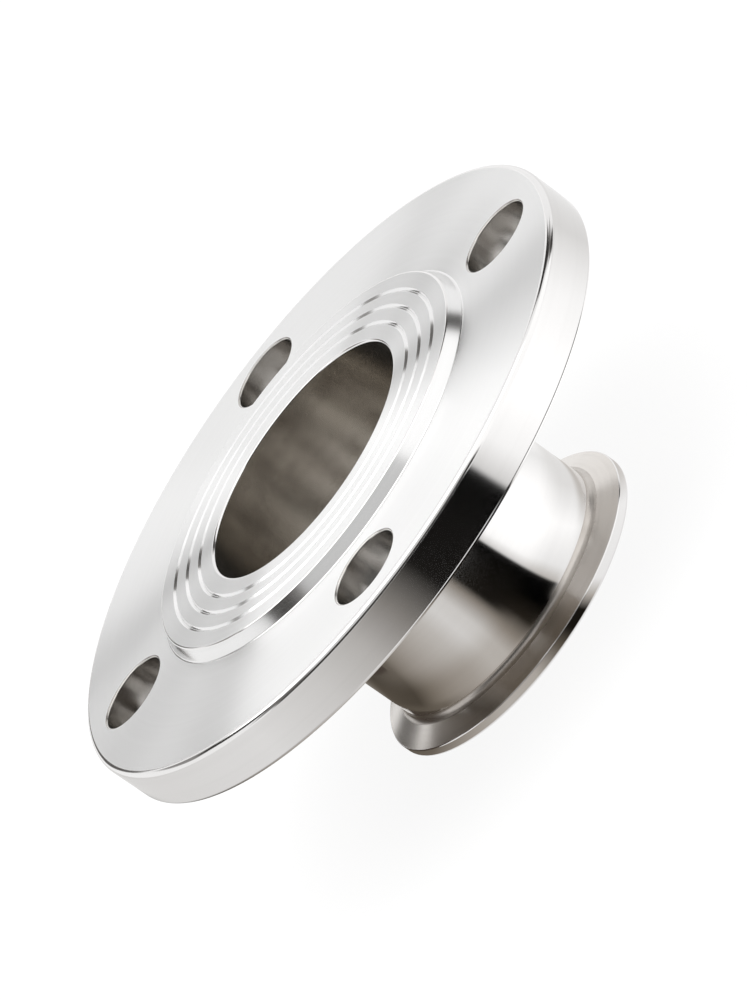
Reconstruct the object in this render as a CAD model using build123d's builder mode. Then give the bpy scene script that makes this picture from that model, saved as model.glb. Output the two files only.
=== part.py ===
# Sanitary clamp flange adapter, one turned stainless steel piece.
# Units are millimetres. The bore axis is Z. The origin is the centre of the clamp face at the
# bottom; the bolted sealing face looks up.
from build123d import *

import math
import os

# bore and neck: a thin-walled sanitary tube
bore_diameter = 50.0
bore_edge_break = 0.4
neck_wall = 1.5

# whole part, clamp face to sealing face
overall_length = 49.0

# raised sealing face, laid out from the bore outwards: land, V grooves, land
inner_groove_land = 4.0
groove_count = 3
groove_pitch = 3.5
outer_groove_land = 4.0
groove_width = 0.9
groove_angle = 90.0
raised_face_height = 2.4
raised_face_flank_angle = 30.0
raised_face_edge_break = 0.2
raised_face_root_radius = 0.5

# bolt holes in a ring outside the raised face, straddling the centre lines
bolt_hole_count = 4
bolt_hole_diameter = 15.0
bolt_hole_edge_break = 0.4
first_bolt_angle = 45.0
raised_face_to_hole = 5.0

# disc of the bolted flange, with a land outside the holes
hole_to_disc_edge = 5.0
flange_thickness = 12.0
flange_edge_radius = 1.2
flange_back_break = 0.6
neck_root_break = 1.2

# clamp ferrule: its face has a gasket groove between two equal lands
gasket_groove_land = 1.9
gasket_groove_width = 3.2
gasket_groove_depth = 1.0
gasket_groove_flank_angle = 30.0
ferrule_rim_thickness = 2.0
ferrule_edge_break = 0.3
ferrule_bevel_angle = 20.0
ferrule_root_radius = 1.6

# radii that follow, from the bore outwards
bore_radius = bore_diameter / 2
neck_radius = bore_radius + neck_wall
first_groove_radius = bore_radius + inner_groove_land
last_groove_radius = first_groove_radius + (groove_count - 1) * groove_pitch
raised_face_radius = last_groove_radius + outer_groove_land
raised_face_flank_run = raised_face_height * math.tan(math.radians(raised_face_flank_angle))
raised_face_foot_radius = raised_face_radius + raised_face_flank_run
bolt_hole_radius = bolt_hole_diameter / 2
bolt_circle_radius = raised_face_radius + raised_face_to_hole + bolt_hole_radius
flange_radius = bolt_circle_radius + bolt_hole_radius + hole_to_disc_edge
gasket_groove_inner_radius = bore_radius + gasket_groove_land
gasket_groove_outer_radius = gasket_groove_inner_radius + gasket_groove_width
ferrule_radius = gasket_groove_outer_radius + gasket_groove_land

# levels that follow, from the clamp face up
bevel_rise = (ferrule_radius - neck_radius) * math.tan(math.radians(ferrule_bevel_angle))
bevel_top = ferrule_rim_thickness + bevel_rise
flange_back = overall_length - flange_thickness
disc_face = overall_length - raised_face_height

# groove sections
groove_half_width = groove_width / 2
groove_depth = groove_half_width / math.tan(math.radians(groove_angle / 2))
gasket_groove_flank = gasket_groove_depth * math.tan(math.radians(gasket_groove_flank_angle))


def corner(sketch, radius, height):
    """The sketch corner nearest to a radius and a height."""
    return sketch.vertices().sort_by_distance((radius, height))[0]


with BuildPart() as flange_adapter:
    # half section of the whole turned body, bored through
    with BuildSketch(Plane.XZ) as section:
        with BuildLine():
            Polyline(
                (bore_radius, 0),
                (ferrule_radius, 0),
                (ferrule_radius, ferrule_rim_thickness),
                (neck_radius, bevel_top),
                (neck_radius, flange_back),
                (flange_radius, flange_back),
                (flange_radius, disc_face),
                (raised_face_foot_radius, disc_face),
                (raised_face_radius, overall_length),
                (bore_radius, overall_length),
                close=True,
            )
        make_face()

        # disc: rounded front edge, broken back edge, and a cone where the neck meets it
        fillet(corner(section, flange_radius, disc_face), flange_edge_radius)
        chamfer(corner(section, flange_radius, flange_back), flange_back_break)
        chamfer(corner(section, neck_radius, flange_back), neck_root_break)

        # raised face: its sloping flank has a round foot on the disc and a broken edge
        fillet(corner(section, raised_face_foot_radius, disc_face), raised_face_root_radius)
        chamfer(corner(section, raised_face_radius, overall_length), raised_face_edge_break)

        # ferrule: the bevel runs into the neck with a radius, and the rim's edges are broken
        fillet(corner(section, neck_radius, bevel_top), ferrule_root_radius)
        for level in (0, ferrule_rim_thickness):
            chamfer(corner(section, ferrule_radius, level), ferrule_edge_break)

        # bore edges at both ends
        for level in (0, overall_length):
            chamfer(corner(section, bore_radius, level), bore_edge_break)
    revolve(axis=Axis.Z)

    # concentric V grooves in the sealing face
    with BuildSketch(Plane.XZ):
        for index in range(groove_count):
            groove_radius = first_groove_radius + index * groove_pitch
            with BuildLine():
                Polyline(
                    (groove_radius - groove_half_width, overall_length),
                    (groove_radius, overall_length - groove_depth),
                    (groove_radius + groove_half_width, overall_length),
                    close=True,
                )
            make_face()
    revolve(axis=Axis.Z, mode=Mode.SUBTRACT)

    # gasket groove in the clamp face, with sloping flanks and a flat floor
    with BuildSketch(Plane.XZ):
        with BuildLine():
            Polyline(
                (gasket_groove_inner_radius, 0),
                (gasket_groove_inner_radius + gasket_groove_flank, gasket_groove_depth),
                (gasket_groove_outer_radius - gasket_groove_flank, gasket_groove_depth),
                (gasket_groove_outer_radius, 0),
                close=True,
            )
        make_face()
    revolve(axis=Axis.Z, mode=Mode.SUBTRACT)

    # bolt holes through the disc, with their edges broken on both faces
    with BuildSketch(Plane.XY.offset(flange_back)):
        with PolarLocations(bolt_circle_radius, bolt_hole_count, start_angle=first_bolt_angle):
            Circle(bolt_hole_radius)
    extrude(amount=disc_face - flange_back, mode=Mode.SUBTRACT)
    bolt_hole_edges = flange_adapter.edges().filter_by(
        lambda edge: edge.geom_type == GeomType.CIRCLE
        and math.isclose(edge.radius, bolt_hole_radius, abs_tol=1e-6)
        and math.hypot(edge.arc_center.X, edge.arc_center.Y) > raised_face_radius
    )
    chamfer(bolt_hole_edges, bolt_hole_edge_break)

flange_adapter.part.label = "flange_adapter"

os.makedirs("parts", exist_ok=True)
export_step(flange_adapter.part, "parts/flange_adapter.step")
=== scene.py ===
# Sanitary clamp flange adapter: turned and polished stainless steel on a pale studio floor.
# The part's sizes are in millimetres, and MM turns them into Blender's metres. The studio's sizes
# are in metres.
import math

import bpy
from mathutils import Matrix, Vector
from mathutils.geometry import delaunay_2d_cdt


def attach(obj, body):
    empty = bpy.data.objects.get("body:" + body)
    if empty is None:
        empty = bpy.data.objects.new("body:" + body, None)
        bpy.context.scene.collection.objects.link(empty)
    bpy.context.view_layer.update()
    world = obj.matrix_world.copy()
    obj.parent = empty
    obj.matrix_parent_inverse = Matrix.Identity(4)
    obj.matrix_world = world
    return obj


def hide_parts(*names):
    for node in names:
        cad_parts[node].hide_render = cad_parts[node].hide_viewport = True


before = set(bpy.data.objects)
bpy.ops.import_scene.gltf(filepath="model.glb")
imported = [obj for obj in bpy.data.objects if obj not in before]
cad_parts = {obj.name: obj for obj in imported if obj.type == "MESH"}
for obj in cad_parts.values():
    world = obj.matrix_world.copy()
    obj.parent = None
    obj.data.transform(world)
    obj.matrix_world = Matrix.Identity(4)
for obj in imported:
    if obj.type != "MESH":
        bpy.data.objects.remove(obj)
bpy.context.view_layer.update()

MM = 0.001

# sizes of the part, the same as in the solid
bore_radius = 25.0
neck_radius = 26.5
overall_length = 49.0
flange_back = 37.0
disc_face = 46.6
flange_radius = 64.98  # a hair inside the solid's 65, whose mesh has flats
raised_face_radius = 40.0
raised_face_height = overall_length - disc_face
raised_face_flank_angle = 30.0
raised_face_flank_run = raised_face_height * math.tan(math.radians(raised_face_flank_angle))
raised_face_foot = raised_face_radius + raised_face_flank_run
groove_radii = (36.0, 32.5, 29.0)
groove_half_width = 0.45
groove_depth = 0.45
bolt_circle_radius = 52.5
bolt_hole_radius = 7.5
bolt_angles = (45.0, 135.0, 225.0, 315.0)
ferrule_radius = 32.0
ferrule_rim_thickness = 2.0
ferrule_bevel_angle = 20.0
bevel_rise = (ferrule_radius - neck_radius) * math.tan(math.radians(ferrule_bevel_angle))
bevel_top = ferrule_rim_thickness + bevel_rise
gasket_groove_inner = 26.9
gasket_groove_outer = 30.1
gasket_groove_depth = 1.0
gasket_groove_flank_angle = 30.0
gasket_groove_flank = gasket_groove_depth * math.tan(math.radians(gasket_groove_flank_angle))

# roundings of its edges
flange_edge_rounding = 1.2
flange_back_rounding = 0.8
raised_face_edge_rounding = 0.5
raised_face_root_rounding = 0.5
neck_root_rounding = 1.4
ferrule_root_rounding = 1.6
ferrule_edge_rounding = 0.3
bore_lip_rounding = 0.5
bore_back_rounding = 0.4
groove_lip_rounding = 0.06
groove_floor_rounding = 0.1
gasket_lip_rounding = 0.15
hole_lip_rounding = 0.4

# fineness of the turned mesh
turn_steps = 480
hole_steps = 96
lip_steps = 5
arc_step = math.radians(11.5)

# centres of the bolt holes
bolt_holes = [
    (bolt_circle_radius * math.cos(math.radians(a)), bolt_circle_radius * math.sin(math.radians(a)))
    for a in bolt_angles
]


def rounded_corner(before, here, after, rounding):
    """Points and outward normals along the arc that rounds one corner of a half section."""
    d_in = (here - before).normalized()
    d_out = (after - here).normalized()
    turn = math.atan2(d_in.cross(d_out), d_in.dot(d_out))
    steps = max(2, round(abs(turn) / arc_step))
    start = here - d_in * rounding * math.tan(abs(turn) / 2)
    side = math.copysign(1.0, turn)
    centre = start + Vector((-d_in.y, d_in.x)) * rounding * side
    points = []
    for k in range(steps + 1):
        angle = turn * k / steps
        normal = Vector((
            d_in.x * math.sin(angle) + d_in.y * math.cos(angle),
            d_in.y * math.sin(angle) - d_in.x * math.cos(angle),
        ))
        points.append((centre + normal * rounding * side, normal))
    return points


def outline_strips(corners):
    """Strips of a closed half section with rounded corners, each with its finish.

    A strip gives each end's place and normal. A corner gives its radius, height and rounding, the
    finish of the rounding and that of the straight run after it."""
    arcs = []
    for i, (r, z, rounding, arc_finish, finish) in enumerate(corners):
        before = Vector(corners[i - 1][:2])
        after = Vector(corners[(i + 1) % len(corners)][:2])
        arcs.append((rounded_corner(before, Vector((r, z)), after, rounding), arc_finish, finish))
    strips = []
    for i, (points, arc_finish, finish) in enumerate(arcs):
        for a, b in zip(points, points[1:]):
            strips.append((*a, *b, arc_finish))
        end, normal = points[-1]
        following = arcs[(i + 1) % len(arcs)][0][0][0]
        strips.append((end, normal, following, normal, finish))
    return strips


class Turned:
    """Collects the vertices, faces, finishes and corner normals of one mesh."""

    def __init__(self):
        self.verts = []
        self.faces = []
        self.finishes = []
        self.normals = []
        self.rings = {}

    def ring(self, centre, r, z, steps):
        """Indices of the vertices of one circle, made once."""
        key = (centre, round(r, 5), round(z, 5))
        if key not in self.rings:
            first = len(self.verts)
            for k in range(steps):
                a = 2 * math.pi * k / steps
                self.verts.append((centre[0] + r * math.cos(a), centre[1] + r * math.sin(a), z))
            self.rings[key] = range(first, first + steps)
        return self.rings[key]

    def ring_radius(self, ring):
        """Radius of a circle about the bore axis."""
        return Vector(self.verts[ring[0]][:2]).length

    def strip(self, centre, steps, start, start_normal, end, end_normal, finish, inward=False):
        """One band of quads about a vertical axis between two points of a half section."""
        lower = self.ring(centre, start.x, start.y, steps)
        upper = self.ring(centre, end.x, end.y, steps)
        for k in range(steps):
            j = (k + 1) % steps
            a, b = (2 * math.pi * s / steps for s in (k, k + 1))
            face = [(lower[k], start_normal, a), (lower[j], start_normal, b),
                    (upper[j], end_normal, b), (upper[k], end_normal, a)]
            if inward:
                face.reverse()
            self.faces.append([corner[0] for corner in face])
            self.finishes.append(finish)
            for _, n, angle in face:
                self.normals.append((n.x * math.cos(angle), n.x * math.sin(angle), n.y))

    def pierced_plane(self, inner, outer, hole_rims, up, finish):
        """A flat ring between two circles, with the bolt holes left open."""
        loops = [outer, inner, *hole_rims]
        indices = [i for loop in loops for i in loop]
        points = [Vector(self.verts[i][:2]) for i in indices]
        edges = []
        first = 0
        for loop in loops:
            size = len(loop)
            edges += [(first + k, first + (k + 1) % size) for k in range(size)]
            first += size
        _, _, triangles, original, _, _ = delaunay_2d_cdt(points, edges, [], 1, 1e-6)
        # a triangle lies in an opening if its middle is nearer than the chords of the rim
        inner_apothem = self.ring_radius(inner) * math.cos(math.pi / turn_steps)
        rim_apothem = (bolt_hole_radius + hole_lip_rounding) * math.cos(math.pi / hole_steps)
        for triangle in triangles:
            ids = [indices[original[v][0]] for v in triangle]
            middle = sum((Vector(self.verts[i][:2]) for i in ids), Vector((0, 0))) / 3
            if middle.length < inner_apothem:
                continue
            if any((middle - Vector(hole)).length < rim_apothem for hole in bolt_holes):
                continue
            self.faces.append(ids if up else ids[::-1])
            self.finishes.append(finish)
            self.normals += [(0, 0, 1 if up else -1)] * 3


# half section, walked with the metal on the left: radius, height, rounding, the rounding's finish,
# the next run's finish
corners = [
    (bore_radius, 0, bore_back_rounding, "edge", "clamp"),
    (gasket_groove_inner, 0, gasket_lip_rounding, "edge", "clamp"),
    (gasket_groove_inner + gasket_groove_flank, gasket_groove_depth, gasket_lip_rounding,
     "clamp", "clamp"),
    (gasket_groove_outer - gasket_groove_flank, gasket_groove_depth, gasket_lip_rounding,
     "clamp", "clamp"),
    (gasket_groove_outer, 0, gasket_lip_rounding, "edge", "clamp"),
    (ferrule_radius, 0, ferrule_edge_rounding, "edge", "rim"),
    (ferrule_radius, ferrule_rim_thickness, ferrule_edge_rounding, "edge", "bevel"),
    (neck_radius, bevel_top, ferrule_root_rounding, "root", "neck"),
    (neck_radius, flange_back, neck_root_rounding, "root", "back"),
    (flange_radius, flange_back, flange_back_rounding, "edge", "rim"),
    (flange_radius, disc_face, flange_edge_rounding, "edge", "face"),
    (raised_face_foot, disc_face, raised_face_root_rounding, "flank", "flank"),
    (raised_face_radius, overall_length, raised_face_edge_rounding, "edge", "land"),
]
for radius in groove_radii:
    corners += [
        (radius + groove_half_width, overall_length, groove_lip_rounding, "groove", "groove"),
        (radius, overall_length - groove_depth, groove_floor_rounding, "groove", "groove"),
        (radius - groove_half_width, overall_length, groove_lip_rounding, "groove", "land"),
    ]
corners.append((bore_radius, overall_length, bore_lip_rounding, "edge", "bore"))

# the disc's two flat sides are left out of the turning, to be pierced by the bolt holes
widest_turned_flat = 20.0
turned = Turned()
plane_rims = {}
for start, start_normal, end, end_normal, finish in outline_strips(corners):
    if abs(start.y - end.y) < 1e-6 and abs(start.x - end.x) > widest_turned_flat:
        level = flange_back if abs(start.y - flange_back) < 1e-3 else disc_face
        rings = [turned.ring((0, 0), p.x, p.y, turn_steps) for p in (start, end)]
        plane_rims[level] = sorted(rings, key=turned.ring_radius)
        continue
    turned.strip((0, 0), turn_steps, start, start_normal, end, end_normal, finish)

# bolt holes: a wall with a rounded lip at each face
lower_lip = []
for k in range(lip_steps + 1):
    a = math.pi / 2 * k / lip_steps
    lower_lip.append((
        Vector((bolt_hole_radius + hole_lip_rounding * (1 - math.sin(a)),
                flange_back + hole_lip_rounding * (1 - math.cos(a)))),
        Vector((-math.sin(a), -math.cos(a))),
    ))
upper_lip = [
    (Vector((p.x, flange_back + disc_face - p.y)), Vector((n.x, -n.y)))
    for p, n in reversed(lower_lip)
]
wall = lower_lip + upper_lip
hole_rims = {flange_back: [], disc_face: []}
for centre in bolt_holes:
    for (a, na), (b, nb) in zip(wall, wall[1:]):
        turned.strip(centre, hole_steps, a, na, b, nb, "drilled", inward=True)
    for level, (point, _) in ((flange_back, wall[0]), (disc_face, wall[-1])):
        hole_rims[level].append(turned.ring(centre, point.x, point.y, hole_steps))
for level, (inner, outer) in plane_rims.items():
    front = level == disc_face
    turned.pierced_plane(inner, outer, hole_rims[level], front, "face" if front else "back")


class Nodes:
    """Short calls for building a node tree."""

    def __init__(self, owner):
        """Clear the tree of a material or world."""
        owner.use_nodes = True
        self.tree = owner.node_tree
        self.tree.nodes.clear()

    def add(self, kind, inputs=None, **settings):
        """A node, with its inputs set to values or linked to sockets."""
        node = self.tree.nodes.new(kind)
        for name, value in settings.items():
            setattr(node, name, value)
        for name, value in (inputs or {}).items():
            self.feed(node.inputs[name], value)
        return node

    def feed(self, socket, value):
        """Link a socket to another one, or set its value."""
        if isinstance(value, bpy.types.NodeSocket):
            self.tree.links.new(value, socket)
        else:
            socket.default_value = value

    def math(self, operation, a, b=None, clamp=False):
        """What one operation makes of one or two values."""
        inputs = {0: a} if b is None else {0: a, 1: b}
        return self.add("ShaderNodeMath", inputs, operation=operation, use_clamp=clamp).outputs[0]

    def wrap(self, value, highest, lowest):
        """A value brought into a range by whole turns."""
        inputs = {0: value, 1: highest, 2: lowest}
        return self.add("ShaderNodeMath", inputs, operation="WRAP").outputs[0]

    def mix_colour(self, factor, a, b):
        """One colour that runs into another."""
        node = self.add("ShaderNodeMix", data_type="RGBA")
        for socket, value in zip((node.inputs[0], node.inputs[6], node.inputs[7]), (factor, a, b)):
            self.feed(socket, value)
        return node.outputs[2]

    def own_place(self):
        """The place on the object, whole and as its three measures."""
        place = self.add("ShaderNodeTexCoord").outputs["Object"]
        return place, self.add("ShaderNodeSeparateXYZ", {0: place}).outputs

    def reach(self, x, y):
        """The distance from the object's own z axis."""
        squares = self.math("ADD", self.math("MULTIPLY", x, x), self.math("MULTIPLY", y, y))
        return self.math("SQRT", squares)

    def noise(self, place, scale, detail, roughness):
        """Soft random tones round 0.5."""
        return self.add("ShaderNodeTexNoise", {
            "Vector": place, "Scale": scale, "Detail": detail, "Roughness": roughness,
        }).outputs["Fac"]

    def off_middle(self, value, gain):
        """How far a noise is from its middle, times a gain."""
        return self.math("MULTIPLY", self.math("SUBTRACT", value, 0.5), gain)

    def step(self, value, edge, softness, rising=True):
        """0 to 1 across a soft edge, or 1 to 0."""
        return self.add("ShaderNodeMapRange", {
            "Value": value, "From Min": edge - softness / 2, "From Max": edge + softness / 2,
            "To Min": 0.0 if rising else 1.0, "To Max": 1.0 if rising else 0.0,
        }, interpolation_type="SMOOTHSTEP").outputs[0]


# how the steels' noises are shared out
blotch_threshold = 0.42
broad_line_tone = 0.25
roughness_spread = 0.3
line_share = 0.8
grain_share = 0.2
quarter_turn = 0.25


def steel(name, colour, roughness, anisotropy, lines_depth, blotch, blotch_colour, blotch_size):
    """Machined steel: tool lines round the axis, uneven roughness and soft blotches of tone.

    The depth of the lines and the size of the blotches are in millimetres."""
    material = bpy.data.materials.new(name)
    n = Nodes(material)
    place, (x, y, z) = n.own_place()
    # a tool line runs at one radius and one height all the way round
    line_place = n.add("ShaderNodeCombineXYZ", {
        0: n.math("MULTIPLY", n.reach(x, y), 1 / MM), 1: n.math("MULTIPLY", z, 1 / MM), 2: 0.0,
    }).outputs[0]
    fine = n.noise(line_place, scale=5.0, detail=2.0, roughness=0.6)
    broad = n.noise(line_place, scale=0.9, detail=1.0, roughness=0.5)
    cloud = n.noise(place, scale=1 / MM / blotch_size, detail=3.0, roughness=0.5)
    grain = n.noise(place, scale=2200.0, detail=2.0, roughness=0.6)
    past_threshold = n.math("SUBTRACT", cloud, blotch_threshold, clamp=True)
    blotches = n.math("MULTIPLY", past_threshold, blotch, clamp=True)
    tone = n.math("ADD", blotches, n.off_middle(broad, broad_line_tone), clamp=True)
    base = n.mix_colour(tone, (*colour, 1.0), (*blotch_colour, 1.0))
    unevenness = roughness * roughness_spread
    uneven = n.math("ADD", n.off_middle(fine, unevenness), n.off_middle(cloud, unevenness))
    rough = n.math("ADD", uneven, roughness, clamp=True)
    height = n.math("ADD", n.math("MULTIPLY", fine, line_share),
                    n.math("MULTIPLY", grain, grain_share))
    bump = n.add("ShaderNodeBump", {
        "Strength": 1.0, "Distance": lines_depth * MM, "Height": height,
    }).outputs[0]
    tangent = n.add("ShaderNodeTangent", direction_type="RADIAL", axis="Z").outputs[0]
    shader = n.add("ShaderNodeBsdfPrincipled", {
        "Base Color": base, "Metallic": 1.0, "Roughness": rough, "Anisotropic": anisotropy,
        "Anisotropic Rotation": quarter_turn, "Normal": bump, "Tangent": tangent,
    })
    n.add("ShaderNodeOutputMaterial", {"Surface": shader.outputs[0]})
    return material


bright = (0.83, 0.828, 0.825)
polished = (0.80, 0.79, 0.784)
grey = (0.66, 0.65, 0.64)
# warm and brown are used only for the painted shade of the disc's back, the roots, the bevel, the
# bore and the bolt holes
warm = (0.64, 0.60, 0.555)
brown = (0.36, 0.33, 0.30)
finishes = {
    # colour, roughness, anisotropy, depth of the lines, strength, colour and size of the blotches
    "face": steel("turned_face", bright, 0.40, 0.95, 0.00012, 0.3, grey, 30.0),
    "land": steel("turned_land", bright, 0.46, 0.95, 0.00012, 0.3, grey, 30.0),
    # painted shade: the disc's underside is darker and warmer than the turned face of the same
    # steel
    "back": steel("turned_back", (0.61, 0.60, 0.59), 0.34, 0.8, 0.0004, 0.8, warm, 20.0),
    "clamp": steel("clamp_face", bright, 0.20, 0.6, 0.0003, 0.4, grey, 12.0),
    "rim": steel("polished_rim", polished, 0.10, 0.4, 0.0003, 0.4, grey, 30.0),
    "edge": steel("polished_edge", polished, 0.10, 0.2, 0.0002, 0.4, grey, 12.0),
    "flank": steel("polished_flank", (0.80, 0.796, 0.793), 0.17, 0.2, 0.0002, 0.4, grey, 12.0),
    "neck": steel("polished_neck", (0.80, 0.79, 0.783), 0.09, 0.3, 0.0004, 0.5, grey, 25.0),
    # painted shade: the concave roots of the neck are darker and browner, with strong brown
    # blotches, as shade in these creases
    "root": steel("blended_root_painted_shade", (0.57, 0.535, 0.50), 0.30, 0.2, 0.0010, 1.8, brown, 7.0),
    # painted shade: the bevel under the disc's overhang is darker and warmer than the neck, with
    # brown blotches
    "bevel": steel("turned_bevel", (0.71, 0.675, 0.64), 0.20, 0.5, 0.0006, 0.7, brown, 14.0),
    # painted shade: the bore wall is darker and warmer, with strong brown blotches, as shade inside
    # the bore
    "bore": steel("bore_wall", (0.72, 0.695, 0.655), 0.17, 0.2, 0.00012, 3.0, brown, 11.0),
    # painted shade: the bolt holes' walls are darker and warmer, with brown blotches, as shade
    # inside the holes
    "drilled": steel("drilled_wall", (0.55, 0.535, 0.515), 0.20, 0.2, 0.0008, 1.8, brown, 6.0),
    "groove": steel("groove_cut", bright, 0.12, 0.3, 0.0002, 0.3, grey, 10.0),
}


def mesh_object(name, points, faces):
    """A new object in the scene, made of these points and faces."""
    mesh = bpy.data.meshes.new(name)
    mesh.from_pydata(points, [], faces)
    obj = bpy.data.objects.new(name, mesh)
    bpy.context.scene.collection.objects.link(obj)
    return obj


body = mesh_object("adapter_body", [Vector(v) * MM for v in turned.verts], turned.faces)
body_mesh = body.data
for finish in finishes.values():
    body_mesh.materials.append(finish)
body_mesh.polygons.foreach_set("use_smooth", [True] * len(body_mesh.polygons))
finish_numbers = {name: number for number, name in enumerate(finishes)}
body_mesh.polygons.foreach_set("material_index", [finish_numbers[f] for f in turned.finishes])
body_mesh.normals_split_custom_set(turned.normals)
body_mesh.update()
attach(body, "root")
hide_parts("flange_adapter")

# camera: the photograph's place, its roll and a long lens
camera_place = Vector((0.92510, -0.64922, 0.44246))
camera_azimuth = math.radians(54.868)
camera_elevation = math.radians(19.908)
camera_roll = math.radians(54.898)
camera_data = bpy.data.cameras.new("camera")
camera_data.lens = 242.28
camera_data.sensor_width = 36.0
camera_data.clip_start = 0.05
camera_data.clip_end = 50.0
camera = bpy.data.objects.new("camera", camera_data)
bpy.context.scene.collection.objects.link(camera)
back = Vector((math.sin(camera_azimuth) * math.cos(camera_elevation),
               -math.cos(camera_azimuth) * math.cos(camera_elevation),
               math.sin(camera_elevation)))
level_right = Vector((0, 0, 1)).cross(back).normalized()
level_up = back.cross(level_right)
right = level_right * math.cos(camera_roll) - level_up * math.sin(camera_roll)
up = back.cross(right)
camera.matrix_world = Matrix((
    (right.x, up.x, back.x, camera_place.x),
    (right.y, up.y, back.y, camera_place.y),
    (right.z, up.z, back.z, camera_place.z),
    (0, 0, 0, 1),
))
bpy.context.scene.camera = camera

# the studio's angles run from the camera's left (0) through its side (90) to its right (180)
left_azimuth = camera_azimuth - math.pi

# tones past 1 don't fit a ramp, so ramps hold them divided by this and the glow multiplies them
card_gain = 2.0

# how fast a card's dark tones get warm, and how much of what blue loses green loses too
warmth_curve = 1.5
green_share = 0.47


def studio_card(name, points, faces):
    """A glowing card that only reflections see, with its node tree and its glow's inputs.

    Its x axis runs to the camera's left and y to the camera. It isn't in the picture, casts no
    shadow and throws no light on what isn't shiny."""
    obj = mesh_object(name, points, faces)
    obj.rotation_euler.z = left_azimuth
    obj.visible_camera = False
    obj.visible_shadow = False
    obj.visible_diffuse = False
    material = bpy.data.materials.new(name)
    n = Nodes(material)
    glow = n.add("ShaderNodeEmission")
    n.add("ShaderNodeOutputMaterial", {"Surface": glow.outputs[0]})
    obj.data.materials.append(material)
    return obj, n, glow.inputs


def round_ramp(n, turn, stops, warmth):
    """A tone by the angle round the part, warmer as it gets darker."""
    ramp = n.add("ShaderNodeValToRGB", {"Fac": turn})
    elements = ramp.color_ramp.elements
    elements.remove(elements[0])
    for k, (angle, tone) in enumerate(sorted(stops.items())):
        element = elements[0] if k == 0 else elements.new(angle / 360.0)
        element.position = angle / 360.0
        loss = warmth * max(0.0, 1.0 - tone) ** warmth_curve
        red = tone / card_gain
        element.color = (red, red * (1.0 - loss * green_share), red * (1.0 - loss), 1.0)
    return ramp.outputs[0]


def ring_card(name, inner, outer, height, rings, turn_from=0.0, turn_to=360.0):
    """A level round card or a part of one, in rings of tone that run softly into each other.

    A ring gives where it starts and where it is whole, its warmth and its tones by angle."""
    steps = 96
    turns = [math.radians(turn_from + (turn_to - turn_from) * k / steps) for k in range(steps + 1)]
    circles = [(r * math.cos(a), r * math.sin(a), 0) for r in (inner, outer) for a in turns]
    quads = [(k, steps + 1 + k, steps + 2 + k, k + 1) for k in range(steps)]
    obj, n, glow = studio_card(name, circles, quads)
    obj.location.z = height
    _, (x, y, _) = n.own_place()
    turn = n.math("DIVIDE", n.math("ARCTAN2", y, x), 2 * math.pi)
    turn = n.math("FRACT", n.math("ADD", turn, 1.0))
    radius = n.reach(x, y)
    _, _, warmth, stops = rings[0]
    colour = round_ramp(n, turn, stops, warmth)
    for ring_from, ring_to, warmth, stops in rings[1:]:
        outside = n.add("ShaderNodeMapRange", {
            "Value": radius, "From Min": ring_from, "From Max": ring_to,
        }, interpolation_type="SMOOTHSTEP").outputs[0]
        colour = n.mix_colour(outside, colour, round_ramp(n, turn, stops, warmth))
    n.feed(glow["Color"], colour)
    n.feed(glow["Strength"], card_gain)
    return obj


def flat_card(name, points, colour):
    """A small flat card of one colour."""
    _, n, glow = studio_card(name, points, [[0, 1, 2, 3]])
    n.feed(glow["Color"], (*colour, 1.0))
    n.feed(glow["Strength"], 1.0)


def upright_corners(foot_from, foot_to, low, high):
    """Corners of an upright rectangle over the line between two places on the floor."""
    return [(*foot_from, low), (*foot_to, low), (*foot_to, high), (*foot_from, high)]


def level_corners(left_from, left_to, near_from, near_to, height):
    """Corners of a level rectangle, by its reach to the camera's left and towards the camera."""
    return [(left_from, near_from, height), (left_to, near_from, height),
            (left_to, near_to, height), (left_from, near_to, height)]


# the cards on the floor lie just over it
floor_clearance = 0.0004

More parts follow.
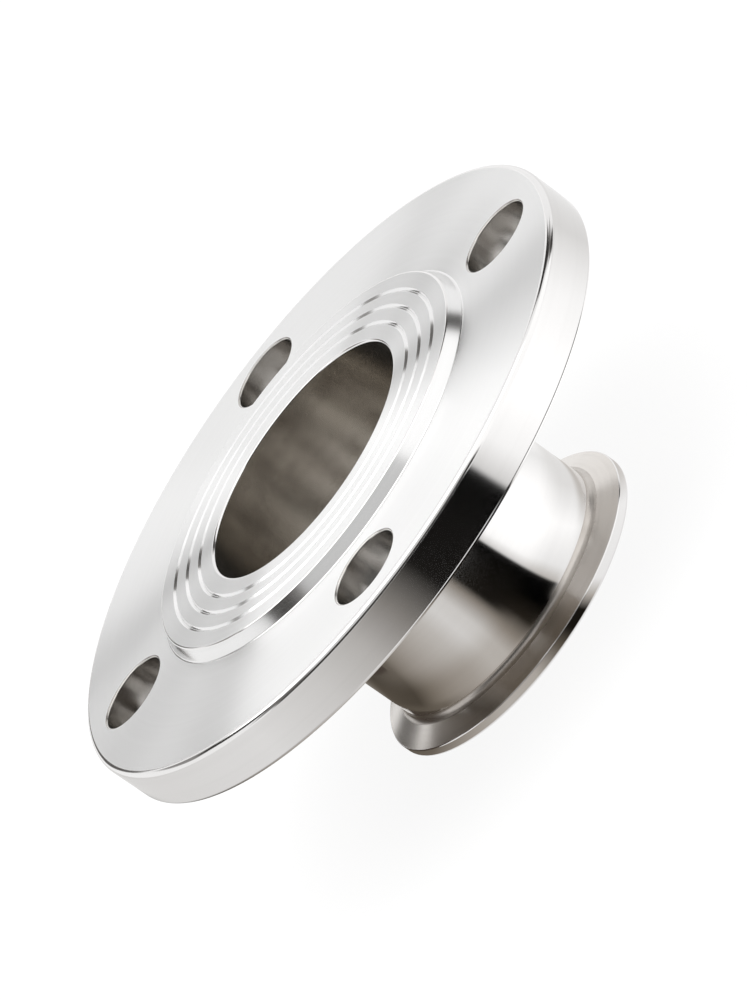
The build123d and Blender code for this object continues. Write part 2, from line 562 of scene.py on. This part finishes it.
# the large one is grey on the left, black in front and white on the right; the ferrule's rim
# mirrors its first ring, the neck the next ones and the disc's rim the last
# its grey on the left is painted shadow of the part on the floor, which only reflections see
ring_card("floor_card", inner=0.03203, outer=1.4, height=floor_clearance, rings=[
    (0, 0, 0.42, {
        0: 0.12, 20: 0.17, 45: 0.42, 62: 0.54, 76: 0.50, 88: 0.13, 95: 0.01, 103: 0.01, 108: 0.5,
        115: 1.0, 148: 1.05, 164: 0.75, 175: 0.64, 230: 0.6, 290: 0.4, 330: 0.1, 360: 0.12}),
    (0.036, 0.040, 0.42, {
        0: 0.08, 5: 0.12, 14: 0.21, 23: 0.29, 32: 0.36, 45: 0.44, 59: 0.57, 68: 0.57, 77: 0.31,
        88: 0.02, 100: 0.0, 113.4: 0.0, 113.6: 0.6, 122: 1.0, 148: 1.25, 164: 1.05, 180: 0.90,
        230: 0.84, 290: 0.4, 330: 0.1, 360: 0.08}),
    (0.046, 0.062, 0.38, {
        0: 0.16, 7: 0.27, 17: 0.38, 27: 0.47, 36: 0.54, 46: 0.62, 58: 0.78, 68: 0.73, 79: 0.30,
        84: 0.01, 113.4: 0.0, 113.6: 0.80, 120: 1.25, 140: 1.42, 170: 1.28, 200: 1.0,
        230: 1.22, 290: 0.9, 313: 0.18, 335: 0.08, 360: 0.16}),
    (0.093, 0.098, 0.08, {
        0: 0.45, 20: 0.50, 45: 0.62, 60: 0.9, 68: 1.1, 103: 1.1, 110: 0.08, 160: 0.08, 170: 0.9,
        200: 0.85, 230: 1.12, 280: 0.92, 310: 0.45, 360: 0.45}),
    (0.122, 0.136, 0.20, {
        0: 0.86, 20: 0.88, 45: 0.72, 60: 0.55, 72: 0.27, 84: 0.01, 113.4: 0.0, 113.6: 0.78,
        122: 1.15, 140: 1.35, 172: 1.18, 200: 0.82, 230: 0.90, 280: 0.93, 310: 0.75, 360: 0.86}),
])

# the one under the bore is painted shade of the floor inside the bore, in streaks that its wall
# mirrors
ring_card("bore_card", inner=0.0, outer=0.025, height=floor_clearance, rings=[
    (0, 0, 0.2, {
        0: 0.18, 30: 0.62, 60: 0.30, 95: 0.62, 125: 0.26, 155: 0.88, 190: 0.38, 215: 0.95,
        240: 0.50, 275: 1.05, 310: 0.50, 335: 0.08, 360: 0.18}),
])

# a bent softbox hangs over the near side of the disc, with its middle behind the axis
near_box = ring_card("near_box", inner=0.095, outer=0.155, height=0.14, rings=[
    (0, 0, 0, {0: 2.4, 40: 2.4, 60: 2.25, 125: 2.25, 150: 2.1}),
], turn_from=12.0, turn_to=141.0)
near_box_setback = 0.055
near_box.location.x = -math.sin(camera_azimuth) * near_box_setback
near_box.location.y = math.cos(camera_azimuth) * near_box_setback

# one just under the disc's near side is painted shade of the disc's back, which dulls what the
# bevel sees of it
ring_card("under_flag", inner=0.0282, outer=0.0444, height=0.0369, rings=[
    (0, 0, 0.42, {0: 0.16, 98: 0.16, 122: 0.30}),
], turn_from=36.0, turn_to=122.0)

# a level one over the disc's left front draws the dark line along its edge
edge_flag_corners = level_corners(left_from=0.067, left_to=0.088, near_from=0.005, near_to=0.058,
                                  height=0.08)
flat_card("edge_flag", edge_flag_corners, colour=(0.05, 0.048, 0.045))

# an upright one behind the ferrule's left end is painted shade under the disc, which darkens the
# root of its neck
root_flag_corners = upright_corners(foot_from=(0.0500, -0.0400), foot_to=(0.0635, -0.0030),
                                    low=0.001, high=0.0365)
flat_card("root_flag", root_flag_corners, colour=(0.07, 0.055, 0.045))

# a pale upright one behind the disc whitens the right of its turned face
right_screen_corners = upright_corners(foot_from=(-0.080, -0.12), foot_to=(-0.034, -0.12),
                                       low=0.084, high=0.125)
flat_card("right_screen", right_screen_corners, colour=(1.12, 1.12, 1.12))

# floor: white to the lens and to reflections, with a share that keeps the shadow
floor_half = 4.0
floor_glow = 1.03
floor_glow_share = 0.85
floor = mesh_object("floor", level_corners(-floor_half, floor_half, -floor_half, floor_half, 0),
                    [[0, 1, 2, 3]])
floor_material = bpy.data.materials.new("floor")
n = Nodes(floor_material)
path = n.add("ShaderNodeLightPath").outputs
mirrored = n.math("MAXIMUM", path["Is Glossy Ray"], path["Is Transmission Ray"])
seen = n.math("MAXIMUM", path["Is Camera Ray"], mirrored)
paper = n.add("ShaderNodeBsdfDiffuse", {"Color": (0.9, 0.9, 0.9, 1.0)})
white = n.add("ShaderNodeEmission", {"Color": (1, 1, 1, 1), "Strength": floor_glow})
blend = n.add("ShaderNodeMixShader", {
    0: n.math("MULTIPLY", seen, floor_glow_share), 1: paper.outputs[0], 2: white.outputs[0],
})
n.add("ShaderNodeOutputMaterial", {"Surface": blend.outputs[0]})
floor.data.materials.append(floor_material)

# world: an even pale room, in which reflections also see a brighter top and these patches
room_level = 0.92
backdrop_extra = 0.08
mirrored_tone = 1.035
mirrored_top_extra = 0.10
mirrored_top_edge = 55
mirrored_top_softness = 30
neutral_gain = 1.5
warm_tint = (1.0, 0.95, 0.90, 1.0)
no_tint = (1.0, 1.0, 1.0, 1.0)
patches = (
    # from and to round the part, from and to in height, softness, tone
    (123, 199, -10, 75, 4, 1.25),
    (33, 122, 28, 56, 5, 0.68),
    (20, 123, -14, 29, 6, 0.05),
    (8, 32, 16, 44, 8, 0.15),
    (201, 213, 0, 24, 5, 0.05),
    (209, 226, 20, 36, 6, 0.15),
    (216, 249, 30, 46, 4, 0.03),
    (291, 330, 28, 41, 4, 0.30),
    (275, 290, 9, 24, 4, 0.12),
)
world = bpy.data.worlds.new("room")
bpy.context.scene.world = world
n = Nodes(world)
path = n.add("ShaderNodeLightPath").outputs
direction = n.add("ShaderNodeSeparateXYZ", {
    0: n.add("ShaderNodeTexCoord").outputs["Generated"],
}).outputs
azimuth = n.math("DEGREES", n.math("ARCTAN2", direction[1], direction[0]))
azimuth = n.math("SUBTRACT", azimuth, math.degrees(left_azimuth))
elevation = n.math("DEGREES", n.math("ARCSINE", direction[2]))
top = n.step(elevation, mirrored_top_edge, mirrored_top_softness)
tone = n.math("ADD", n.math("MULTIPLY", top, mirrored_top_extra), mirrored_tone)
for round_from, round_to, low_edge, high_edge, softness, patch_tone in patches:
    from_middle = n.math("SUBTRACT", azimuth, (round_from + round_to) / 2)
    offset = n.math("ABSOLUTE", n.wrap(from_middle, 180.0, -180.0))
    inside_round = n.step(offset, (round_to - round_from) / 2, softness, rising=False)
    inside_height = n.math("MULTIPLY", n.step(elevation, low_edge, softness),
                           n.step(elevation, high_edge, softness, rising=False))
    inside = n.math("MULTIPLY", inside_round, inside_height)
    tone = n.math("ADD", tone, n.math("MULTIPLY", inside, n.math("SUBTRACT", patch_tone, tone)))
mirrored = n.math("MAXIMUM", path["Is Glossy Ray"], path["Is Transmission Ray"])
plain = n.math("ADD", n.math("MULTIPLY", path["Is Camera Ray"], backdrop_extra), room_level)
strength = n.math("ADD", plain, n.math("MULTIPLY", mirrored, n.math("SUBTRACT", tone, plain)))
# a mirrored tone that the gain leaves under 1 is a little warm, and everything else has no tint
neutral = n.math("MAXIMUM", n.math("MULTIPLY", tone, neutral_gain),
                 n.math("SUBTRACT", 1.0, mirrored), clamp=True)
tint = n.mix_colour(neutral, warm_tint, no_tint)
room = n.add("ShaderNodeBackground", {"Color": tint, "Strength": strength})
n.add("ShaderNodeOutputWorld", {"Surface": room.outputs[0]})

# soft overhead light
overhead_data = bpy.data.lights.new("overhead", "AREA")
overhead_data.shape = "SQUARE"
overhead_data.size = 1.2
overhead_data.energy = 7.5
overhead = bpy.data.objects.new("overhead", overhead_data)
overhead.location = (0, 0, 0.95)
overhead.visible_glossy = False
bpy.context.scene.collection.objects.link(overhead)

bpy.context.scene.view_settings.view_transform = "Standard"
